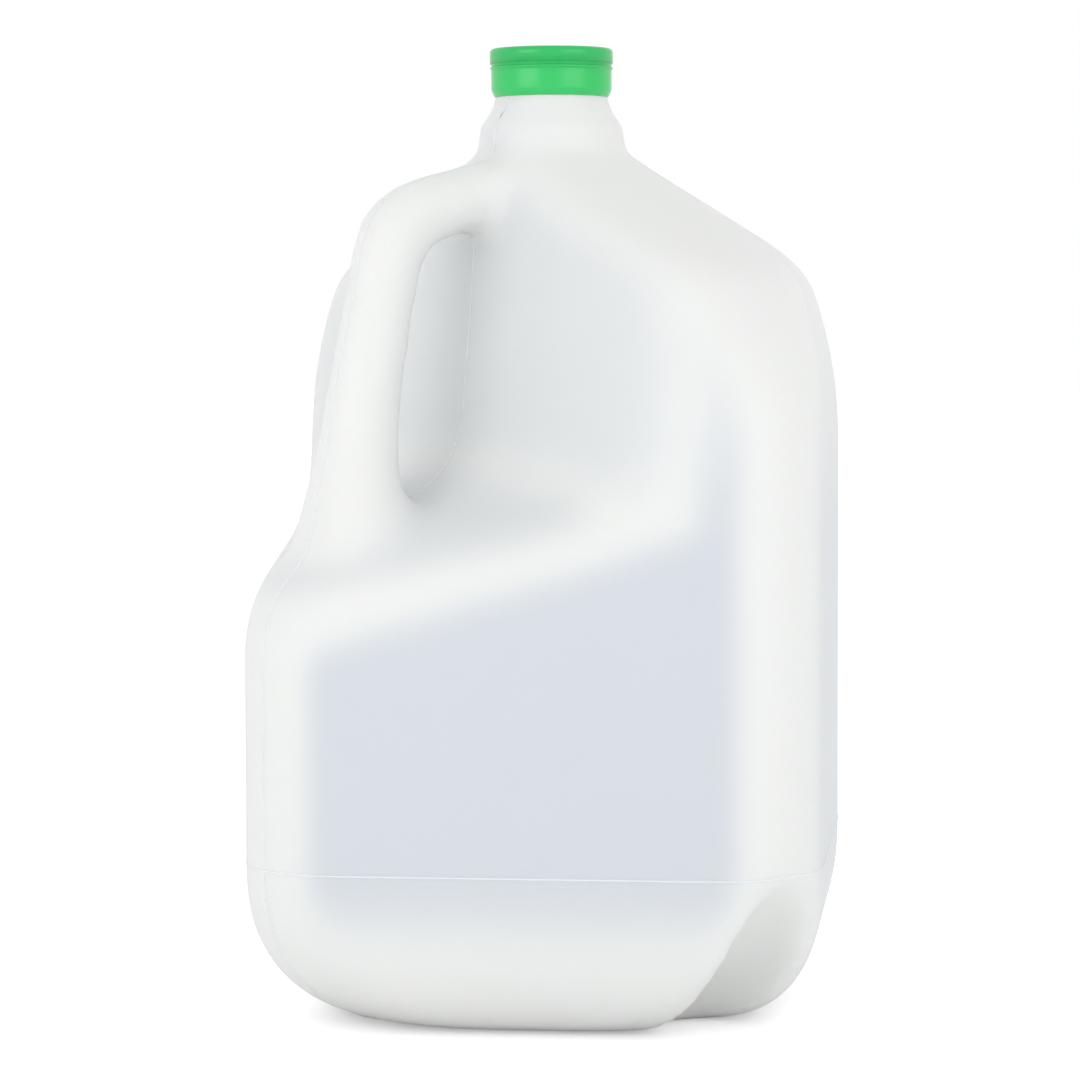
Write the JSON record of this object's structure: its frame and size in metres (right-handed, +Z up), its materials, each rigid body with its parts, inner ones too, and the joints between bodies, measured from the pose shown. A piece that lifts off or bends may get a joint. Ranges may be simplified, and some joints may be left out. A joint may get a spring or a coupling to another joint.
{
  "type": "gallon jug with handle",
  "caption": "Square blow-moulded one-gallon drink jug with a hollow corner handle beside a finger recess, short round neck and push-on cap.",
  "frame": {"origin": "middle of the foot, on the neck's axis", "axes": "+Z up; -Y is the front; the handle stands at the corner towards -X and -Y"},
  "size_m": [0.1522, 0.1522, 0.2582],
  "materials": {
    "jug": "translucent natural polyethylene, satin",
    "cap": "green polyethylene, satin"
  },
  "bodies": {
    "root": {"jug": "jug", "cap": "cap"}
  },
  "joints": []
}
